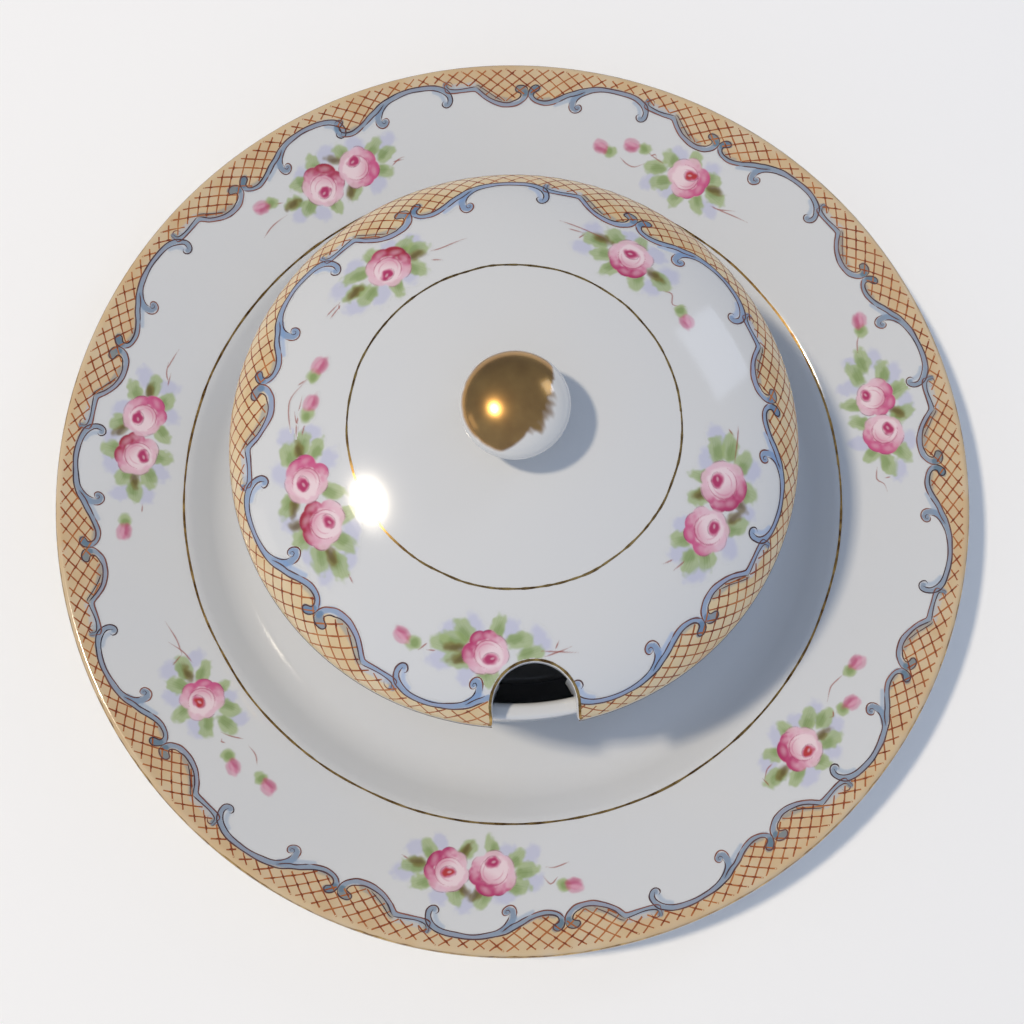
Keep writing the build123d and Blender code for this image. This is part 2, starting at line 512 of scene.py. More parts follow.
def cutNotch(piece):
    cutter = notchCutter()
    cut = piece.modifiers.new("notch", "BOOLEAN")
    cut.object = cutter
    cut.operation = "DIFFERENCE"
    cut.solver = "EXACT"
    bpy.context.view_layer.update()
    shaped = bpy.data.meshes.new_from_object(piece.evaluated_get(bpy.context.evaluated_depsgraph_get()))
    piece.modifiers.clear()
    piece.data = shaped
    piece.data.shade_smooth()
    piece.data.set_sharp_from_angle(angle=math.radians(25))
    bpy.data.objects.remove(cutter)


turnedPiece("platePorcelain", plateProfile(), 360, "plate", "underplate")
turnedPiece("tubPorcelain", tubProfile(), 300, "tub", "butter_tub")
lidSkin = turnedPiece("lidPorcelain", lidProfile(), 300, "lid", "lid_shell")
cutNotch(lidSkin)
knobSkin = turnedPiece("knobPorcelain", knobProfile(), 300, "lid", "lid_knob")
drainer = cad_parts["butter_drainer"].data
drainer.materials.clear()
drainer.materials.append(porcelain)
print("porcelain turned")


def groundOf(path):
    # the shown face's meridian, counted inwards from the widest line: way, radius, height, normal
    widest = int(np.argmax(path[:, 0]))
    start = widest - 3
    path = path[start:]
    way = np.concatenate([[0], np.cumsum(np.linalg.norm(np.diff(path, axis=0), axis=1))])
    way -= way[widest - start]
    run = np.gradient(path, way, axis=0)
    run /= np.linalg.norm(run, axis=1)[:, None]
    return {"way": way, "r": path[:, 0], "z": path[:, 1], "nr": run[:, 1], "nz": -run[:, 0]}


def archAt(kind, ground, angle):
    # the transfers' centre sits a little off the piece's own
    off = kind["offCentre"]
    return wayAt(ground, kind["archRadius"] + off[0] * np.cos(angle) + off[1] * np.sin(angle))


def stretchAt(kind, angle):
    return kind["stretch"][0] + kind["stretch"][1] * np.cos(angle)


def wayAt(ground, radius):
    inner = ground["way"] >= 0
    return np.interp(-np.asarray(radius), -ground["r"][inner], ground["way"][inner])


def onGround(ground, angle, way, lift):
    r, z, nr, nz = (np.interp(way, ground["way"], ground[key]) for key in ("r", "z", "nr", "nz"))
    r, z = r + lift * nr, z + lift * nz
    return np.stack([r * np.cos(angle), r * np.sin(angle), z], -1)


def clearOfNotch(points, margin):
    x, y = points[..., 0], points[..., 1]
    half, centre = lid["notchHalf"] + margin, -lid["notchCentre"]
    return ~((np.hypot(x, y - centre) < half) | ((np.abs(x) < half) & (y < centre)))


def clearNotch(points, faces, margin):
    good = clearOfNotch(points, margin)
    return faces[good[faces].all(1)]


def gridFaces(rows, count, closed=False):
    index = np.arange(rows * count).reshape(rows, count)
    here = index if closed else index[:, :-1]
    after = np.roll(index, -1, 1) if closed else index[:, 1:]
    return np.stack([here[:-1], after[:-1], after[1:], here[1:]], -1).reshape(-1, 4)


def smoothLine(points, spacing):
    # an even curve through given points
    p = np.array(points, float)
    p = np.vstack([2 * p[0] - p[1], p, 2 * p[-1] - p[-2]])
    out = []
    for i in range(1, len(p) - 2):
        a, b, c, d = p[i - 1], p[i], p[i + 1], p[i + 2]
        steps = max(1, int(np.linalg.norm(c - b) / spacing))
        u = (np.arange(steps) / steps)[:, None]
        out.append(0.5 * (2 * b + (c - a) * u + (2 * a - 5 * b + 4 * c - d) * u * u
                          + (3 * b - a - 3 * c + d) * u ** 3))
    return np.vstack(out + [p[-2:-1]])


def newSheet():
    return {"points": [], "faces": [], "count": 0}


def addStrip(sheet, ground, angle, way, width, lift, keep=None):
    # a line of enamel laid along a path on the face, as wide as it's told at each step
    r = np.interp(way, ground["way"], ground["r"])
    dx = np.gradient(angle) * r
    dy = np.gradient(way)
    size = np.maximum(np.hypot(dx, dy), 1e-9)
    nx, ny = -dy / size, dx / size
    for side in (-0.5, 0.5):
        shift = width * side
        sheet["points"].append(onGround(ground, angle + nx * shift / r, way + ny * shift, lift))
    first, n = sheet["count"], len(angle)
    for i in range(n - 1):
        if keep is None or (keep[i] and keep[i + 1]):
            sheet["faces"].append((first + i, first + n + i, first + n + i + 1, first + i + 1))
    sheet["count"] += 2 * n


def layStrips(name, sheet, material, body):
    points = np.vstack(sheet["points"])
    return meshPiece(name, points, facingUp(points, sheet["faces"]), material, body)


def facingUp(points, faces):
    # turn any face that looks down into the ware
    f = np.array(faces)
    a, b, c = points[f[:, 0]], points[f[:, 1]], points[f[:, 2]]
    flip = np.cross(b - a, c - a)[:, 2] < 0
    f[flip] = f[flip][:, ::-1]
    return f


def newCanvas(shape):
    canvas = np.zeros(shape + (4,))
    canvas[..., :3] = hexToLinear(glaze["body"])[:3]
    return canvas


def lay(canvas, code, cover):
    # one coat of colour over what is there
    colour = np.array(hexToLinear(code)[:3]) * glaze["paintDepth"]
    under = canvas[..., 3] * (1 - cover)
    alpha = cover + under
    seen = alpha > 1e-4
    share = np.where(seen, cover / np.maximum(alpha, 1e-4), 0)[..., None]
    canvas[..., :3] = colour * share + canvas[..., :3] * (1 - share)
    canvas[..., 3] = alpha


def fade(value, inside, outside):
    u = np.clip((value - outside) / (inside - outside), 0, 1)
    return u * u * (3 - 2 * u)


tile = 96        # squares along each side of the cloud pattern before it repeats
speckle = np.random.default_rng(8).random((tile, tile))


def mottle(x, y, size):
    # soft cloudiness between 0 and 1 over a face measured in mm
    u, v = x / size % tile, y / size % tile
    i, j = np.floor(u).astype(int) % tile, np.floor(v).astype(int) % tile
    nextI, nextJ = (i + 1) % tile, (j + 1) % tile
    fu, fv = fade(u % 1, 1, 0), fade(v % 1, 1, 0)
    low = speckle[i, j] * (1 - fu) + speckle[nextI, j] * fu
    high = speckle[i, nextJ] * (1 - fu) + speckle[nextI, nextJ] * fu
    return low * (1 - fv) + high * fv


def toLine(x, y, line, reach):
    # distance of each spot to a line, and how far along it that is
    best, along = np.full(x.shape, 99.0), np.zeros(x.shape)
    low, high = line.min(0) - reach, line.max(0) + reach
    near = (x > low[0]) & (x < high[0]) & (y > low[1]) & (y < high[1])
    px, py = x[near], y[near]
    if px.size == 0:
        return best, along
    d, w = np.full(px.shape, 99.0), np.zeros(px.shape)
    for i in range(len(line) - 1):
        a, run = line[i], line[i + 1] - line[i]
        u = np.clip(((px - a[0]) * run[0] + (py - a[1]) * run[1]) / max(run @ run, 1e-9), 0, 1)
        e = np.hypot(px - a[0] - u * run[0], py - a[1] - u * run[1])
        closer = e < d
        d[closer], w[closer] = e[closer], (i + u[closer]) / (len(line) - 1)
    best[near], along[near] = d, w
    return best, along


def brush(canvas, x, y, points, width, code, strength, soft=0.25, taper=(0.0, 0.0)):
    # a soft stroke; taper thins its first and last part
    line = smoothLine(points, 0.6)
    d, along = toLine(x, y, line, width + soft + 0.3)
    half = np.full(x.shape, width / 2.0)
    if taper[0]:
        half = half * np.clip(along / taper[0], 0.15, 1)
    if taper[1]:
        half = half * np.clip((1 - along) / taper[1], 0.15, 1)
    lay(canvas, code, strength * fade(d, half - soft / 2, half + soft / 2))


# The border transfer, in local mm: along the rim, then inwards from the top of the arches. It
# repeats every 50 mm.
scroll = {
    "repeat": 50.0,
    "lines": [
        # the arch's outer line from its hook, down into the shallow lobe and up to the left cusp curl
        ("dark", 0.30, [(0.6, 4.3), (1.1, 4.7), (1.1, 5.4), (0.6, 5.95), (-0.1, 6.05), (-0.9, 5.7),
                        (-1.5, 4.8), (-1.55, 3.7), (-1.2, 2.6), (-0.5, 1.5), (0.6, 0.8), (2.2, 0.2),
                        (4.5, -0.2), (7, -0.3), (9.5, -0.1), (12.5, 0.2), (16, 1.2), (18, 2.2),
                        (20, 3.2), (21.5, 4.1), (23.3, 4.9), (25, 5.3), (26.5, 5.2), (27.4, 4.8),
                        (27.8, 4.2), (27.7, 3.5), (27, 3.1), (26.5, 2.7), (26.35, 2.2), (26.7, 1.7),
                        (27.4, 1.5), (28.2, 1.9), (28.8, 2.6), (29.1, 3.6), (29.2, 4.1)]),
        ("dark", 0.26, [(-0.1, 5.2), (-0.35, 4.5), (-0.4, 3.8), (0, 3), (0.9, 2.1), (2.2, 1.4),
                        (3.8, 1), (6, 0.8), (8, 0.75), (10, 0.95), (12, 1.35), (13.6, 1.8), (14.8, 2.4),
                        (15.8, 3.1), (16.5, 3.9), (16.9, 4.7), (17, 5.4)]),
        ("brown", 0.28, [(17, 5.6), (16.6, 5.3), (16.1, 5.2), (15.6, 5.5), (15.4, 6.1), (15.6, 6.7),
                         (16.3, 7.3), (17.2, 7.5), (18, 7.2), (18.5, 6.5), (18.6, 5.7), (18.5, 5.1)]),
        ("dark", 0.2, [(17, 5.5), (17.15, 6.05), (16.8, 6.45), (16.3, 6.35), (16.15, 5.95),
                       (16.45, 5.75)]),
        ("dark", 0.26, [(15.2, 1.7), (16.4, 2.6), (17.6, 3.3), (18.6, 3.7), (20, 4.5), (21.5, 5.3)]),
        ("brown", 0.28, [(21.5, 5.3), (23.2, 6), (25, 6.35), (26.8, 6.1), (28.2, 5.4), (29.1, 4.3)]),
        ("brown", 0.30, [(29.1, 3), (29.2, 4.2), (29.7, 5.2), (30.6, 6), (32, 6.8), (34, 7.1), (36, 7),
                         (38, 6.3), (39.6, 5.4), (41, 4.3), (42, 3.2), (42.7, 2.7), (45, 2.7),
                         (48, 2.7), (49.4, 2.45), (50.1, 1.8), (50.3, 0.9), (50.1, 0.2), (49.6, -0.2)]),
        ("dark", 0.28, [(29.2, 3.2), (29.4, 2.5), (29.9, 2), (30.9, 1.7), (31.9, 1.9), (32.4, 2.5),
                        (32.3, 3.1), (31.6, 3.4), (31, 3.7), (31.1, 4.4), (31.7, 5.1), (32.6, 5.5),
                        (34, 5.95), (35.5, 5.9), (37.2, 5.5), (38.8, 4.8), (40.2, 3.7), (41.2, 2.5),
                        (41.9, 1.7)]),
        ("dark", 0.24, [(41.9, 1.6), (42.6, 1.55), (45, 1.8), (46.5, 1.9), (48, 1.75), (49, 1.4),
                        (49.3, 0.8), (49.2, 0.45)]),
        ("dark", 0.22, [(35.9, 5.5), (38, 4.2), (39.6, 2.9), (41.2, 1.5), (42, 1.2)]),
        ("brown", 0.22, [(47.6, 0.9), (47.9, 0.2), (48.6, -0.2), (49.3, 0.1), (49.2, 0.7)]),
    ],
    "washes": [
        # colour, width, strength, path: the blue body of the scroll, then its deeper touches
        ("blue", 1.25, 0.9, [(0.2, 5.3), (-0.5, 5.2), (-0.95, 4.5), (-1.0, 3.6), (-0.6, 2.6),
                             (0.2, 1.75), (1.6, 0.95), (3.2, 0.5), (6, 0.25), (9, 0.35), (12.5, 0.8),
                             (15, 1.7), (16.6, 2.2), (18, 2.95), (20, 3.85), (22, 4.85), (24, 5.6),
                             (26, 5.7), (27.6, 5.3), (28.5, 4.4), (28.2, 3.2), (27.5, 2.4),
                             (27.2, 2.2)]),
        ("blue", 1.5, 0.95, [(15.6, 2.3), (16.8, 3.2), (17.6, 4.2), (17.9, 5.2), (17.6, 6.3),
                             (16.8, 6.6),
                            (16.2, 6.1)]),
        ("blue", 1.25, 0.85, [(29.9, 3.4), (30.1, 4.6), (31.2, 5.9), (33, 6.4), (35.5, 6.45),
                              (37.6, 5.9),
                             (39.4, 4.9), (41, 3.5), (42.3, 2.3), (45, 2.25), (48, 2.2), (49.5, 1.8),
                             (49.8, 0.8), (49.4, 0.2)]),
        ("deep", 1.7, 0.75, [(26.9, 2.2), (27.7, 2.5), (28.2, 3.3)]),
        ("deep", 1.9, 0.75, [(31.6, 2.5), (30.6, 2.6), (30, 3.4)]),
        ("deep", 1.0, 0.5, [(48.0, 1.4), (49.0, 0.9), (49.6, 0.2)]),
        ("strong", 1.1, 0.5, [(2.6, 1.7), (1.3, 2.5), (0.7, 3.4), (0.5, 4.4)]),
        ("strong", 0.9, 0.5, [(18.9, 4.6), (20.6, 5.4), (22.2, 6.1)]),
        ("strong", 0.8, 0.45, [(16.4, 3.2), (17.4, 4.0), (18.6, 4.2)]),
        ("lilac", 0.9, 0.55, [(33, 6.5), (35.5, 6.5), (37.6, 6.0), (39.4, 5.0), (41, 3.6)]),
        ("lilac", 0.8, 0.4, [(3, 0.5), (6, 0.25), (9, 0.35), (12.5, 0.8)]),
        ("pale", 1.3, 0.6, [(42.6, 1.0), (45, 1.2), (48, 1.1)]),
        ("shade", 0.9, 0.6, [(23.8, 4.7), (25.4, 5.0), (27, 4.7)]),
        ("shade", 1.2, 0.7, [(33.8, 5.5), (36.6, 4.9), (38.8, 3.9), (40.4, 2.6), (41.6, 1.5)]),
    ],
    "fill": [(-1.5, 1.9), (0.4, 0.9), (2.2, 0.1), (4.5, -0.2), (7, -0.3), (9.5, -0.1), (12.5, 0.2),
             (14, 0.6), (16, 1.2), (18, 2.2), (20, 3.2), (21.5, 4.1), (23.3, 4.9), (25, 5.3),
             (26.5, 5.2), (27.6, 4.5), (29.1, 3.4), (30.5, 4.4), (32, 5.3), (34, 5.9), (36, 5.8),
             (38, 5.2), (40, 3.9), (42, 1.7), (45, 1.5), (48, 1.3), (50, 1.0), (51.5, 0.9)],
}
ware = {
    "plate": {
        "body": "plate", "slot": "plate_porcelain", "reference": 100.0, "archRadius": 104.0,
        "offCentre": (0, 0), "stretch": (0.99, 0), "band": (0.75, 13.0), "columns": 2000, "rows": 41,
        "starts": [10.5, 38.5, 67, 95.5, 111.5, 139.5, 168.5, 196.5, 225.5, 255.5, 284.5, 313.5, 341.5],
        "short": {3: (28.3, 1.0)},     # a repeat cut short: its length, and how much it is squeezed
        "lattice": 176, "latticeTop": -2.5, "latticeStart": 1.9,
        "tones": {"tan": "#E0C59A", "tanDeep": "#D8B484", "blue": "#8B9CB2", "strong": "#8AA6C6",
                  "deep": "#5C7C90", "lilac": "#A3A4B6", "pale": "#BFCAD6", "shade": "#9A9C9C"},
    },
    "lid": {
        "body": "lid", "slot": "lid_porcelain", "reference": 53.5, "archRadius": 56.3,
        "offCentre": (-0.35, -1.2), "stretch": (1.1, -0.12), "band": (1.2, 17.5), "columns": 1120,
        "rows": 55,
        "starts": [23.7, 79.2, 133.2, 187.9, 241.3, 279.2, 332.2],
        "short": {4: (19.2, 1.12)}, "lattice": 94, "latticeTop": -6.4, "latticeStart": 1.5,
        "tones": {"tan": "#E8D0A2", "tanDeep": "#E0BE88", "blue": "#8CA4C6", "strong": "#7FA6DC",
                  "deep": "#6284A6", "lilac": "#A6ABC8", "pale": "#C2D0E6", "shade": "#A3A6A4"},
    },
}


def unitsOf(kind):
    # each repeat's start in degrees and its stretch: local mm per degree
    starts, turns = kind["starts"], []
    for i, start in enumerate(starts):
        end = starts[(i + 1) % len(starts)] + (360 if i == len(starts) - 1 else 0)
        if i in kind["short"]:
            length, squeeze = kind["short"][i]
            turns.append((start, end, math.radians(1) * kind["reference"] * squeeze, length))
        else:
            turns.append((start, end, scroll["repeat"] / (end - start), scroll["repeat"]))
    return turns


def fillEdge(kind, degrees):
    # how far in the tan reaches at each angle
    edge = np.zeros(degrees.shape)
    low = np.array([p[0] for p in scroll["fill"]])
    deep = np.array([p[1] for p in scroll["fill"]])
    for start, end, pace, length in unitsOf(kind):
        s = (degrees - start) % 360 * pace
        inside = s <= (end - start) * pace
        edge[inside] = np.interp(s[inside], low, deep)
    return edge


def paintBorder(name, kind, ground, lift=0.035):
    degrees = np.linspace(0, 360, kind["columns"], endpoint=False)
    way = np.linspace(*kind["band"], kind["rows"])
    x, y = np.meshgrid(np.radians(degrees) * kind["reference"], way)
    turn = np.radians(degrees)[None, :]
    y = (y - archAt(kind, ground, turn)) / stretchAt(kind, turn)
    canvas = newCanvas(x.shape)
    tones = kind["tones"]
    edge = fillEdge(kind, degrees)[None, :]
    cloud = mottle(x, y * 1.3, 3.1)
    wavy = (mottle(x, y, 1.1) - 0.5) * 0.25
    tan = fade(y, edge - 0.05 + wavy, edge + 0.2 + wavy)
    lay(canvas, tones["tan"], tan * (0.86 + 0.14 * cloud))
    lay(canvas, tones["tanDeep"], tan * 0.5 * fade(mottle(x, y, 4.7), 0.85, 0.35))
    for start, _, pace, length in unitsOf(kind):
        s = ((degrees - start + 180) % 360 - 180) * pace
        columns = (s > -5) & (s < length + 2)
        sy = y[:, columns]
        sx = np.broadcast_to(s[columns], sy.shape)
        part = canvas[:, columns]
        drift = (mottle(x[:, columns], sy, 1.7) - 0.5) * 0.35
        for tone, width, strength, path in scroll["washes"]:
            if path[0][0] > length:
                continue
            path = [p for p in path if p[0] < length + 1.0]
            if len(path) > 1:
                soft = 0.3 if tone in ("blue", "deep") else 0.55
                brush(part, sx, sy + drift * 0.4, path, width, tones[tone], strength, soft)
        canvas[:, columns] = part
    angle = np.radians(degrees)[None, :] + 0 * x
    points = onGround(ground, angle, way[:, None] + 0 * x, lift)
    points = points.reshape(-1, 3)
    faces = gridFaces(*x.shape, True)
    if kind["body"] == "lid":
        faces = clearNotch(points, faces, lid["notchRounding"] - 0.1)
    colour = canvas.reshape(-1, 4)
    faces = faces[(colour[faces][:, :, 3] > 0.004).any(1)]     # squares with no colour are dropped
    paintedPiece(name, points, faces, colour, kind["body"])


def layPaint(mesh, colour):
    layer = mesh.color_attributes.new("paint", "FLOAT_COLOR", "POINT")
    layer.data.foreach_set("color", colour.astype(np.float32).ravel())


def paintedPiece(name, points, faces, colour, body):
    used = np.unique(faces)
    renumber = np.zeros(len(points), int)
    renumber[used] = np.arange(len(used))
    faces = facingUp(points[used], renumber[faces])
    piece = meshPiece(name, points[used], faces, paintedPorcelain, body)
    layPaint(piece.data, colour[used])


def drawScroll(name, kind, ground):
    sheets = {"dark": newSheet(), "brown": newSheet()}
    hand = np.random.default_rng(21)
    for start, _, pace, length in unitsOf(kind):
        for ink, width, path in scroll["lines"]:
            line = smoothLine(path, 0.28)
            line = line[line[:, 0] < length]
            if len(line) < 3:
                continue
            sway = np.stack([mottle(line[:, 0] + start * 7, line[:, 1] * 2, 4.0) - 0.5,
                             mottle(line[:, 0] + start * 3, line[:, 1] * 2 + 40, 4.0) - 0.5], -1) * 0.3
            line = line + sway
            press = 0.75 + 0.5 * mottle(line[:, 0] + start * 5, line[:, 1] * 3, 2.2)
            ends = np.clip(np.minimum(np.arange(len(line)), np.arange(len(line))[::-1]) / 3, 0.25, 1)
            angle = np.radians(start + line[:, 0] / pace)
            way = archAt(kind, ground, angle) + line[:, 1] * stretchAt(kind, angle)
            keep = None
            if kind["body"] == "lid":
                keep = clearOfNotch(onGround(ground, angle, way, 0), lid["notchRounding"])
            lift = 0.07 + 0.004 * hand.random()
            addStrip(sheets[ink], ground, angle, way, width * press * ends, lift, keep)
    layStrips(name + "DarkLines", sheets["dark"], scrollInk, kind["body"])
    layStrips(name + "BrownLines", sheets["brown"], scrollBrown, kind["body"])


lattice = {"width": 0.33, "rise": 1.4, "open": 1.15, "wobble": 0.22, "knot": (0.42, 0.55)}


def drawLattice(name, kind, ground):
    lines, knots = newSheet(), newSheet()
    half = math.pi * kind["reference"] / kind["lattice"]
    top = kind["latticeTop"]
    hand = np.random.default_rng(5)
    down = np.arange(top, 7.0, 0.35)
    for i in range(kind["lattice"]):
        for lean in (-1, 1):
            nudge = (hand.random(2) - 0.5) * lattice["wobble"]
            s = i * 2 * half + lean * (down - top - lattice["open"]) * half / lattice["rise"] + nudge[0]
            s = s + (mottle(s, down * 2 + 9 * lean, 2.6) - 0.5) * lattice["wobble"]
            angle = s / kind["reference"]
            edge = fillEdge(kind, np.degrees(angle) % 360)
            way = archAt(kind, ground, angle) + down * stretchAt(kind, angle)
            keep = (down < edge - 0.12) & (way > kind["latticeStart"] + 0.4 * mottle(s, down, 0.7))
            if kind["body"] == "lid":
                keep &= clearOfNotch(onGround(ground, angle, way, 0), lid["notchRounding"])
            start = int(hand.integers(0, 2))
            press = lattice["width"] * (0.7 + 0.6 * mottle(s + 31, down * 3, 1.9))
            addStrip(lines, ground, angle[start:], way[start:], press[start:], 0.045, keep[start:])
    for i in range(kind["lattice"]):
        for k in range(8):
            level = top + lattice["open"] + k * lattice["rise"]
            s = (i * 2 + k % 2) * half
            angle = s / kind["reference"]
            edge = fillEdge(kind, np.array([math.degrees(angle) % 360]))[0]
            if level > edge - 0.5 or hand.random() < 0.25:
                continue
            size, reach = lattice["knot"]
            offset = np.linspace(-reach, reach, 5)
            spot = angle + offset * (1 if hand.random() < 0.5 else -1) * 0.8 / kind["reference"]
            way = archAt(kind, ground, spot) + (level + offset * 0.6) * stretchAt(kind, spot)
            if way.min() < kind["latticeStart"] + 0.6:
                continue
            if kind["body"] == "lid" and not clearOfNotch(onGround(ground, spot, way, 0), 1.2).all():
                continue
            addStrip(knots, ground, spot, way, size * np.array([0.3, 0.9, 1, 0.9, 0.3]), 0.055)
    layStrips(name + "Lattice", lines, latticeInk, kind["body"])
    layStrips(name + "LatticeKnots", knots, knotInk, kind["body"])


plateGround = groundOf(plateProfile())
lidGround = groundOf(lidProfile())
for name, ground in (("plate", plateGround), ("lid", lidGround)):
    paintBorder(name + "Border", ware[name], ground)
    drawLattice(name, ware[name], ground)
    drawScroll(name, ware[name], ground)
print("border painted")


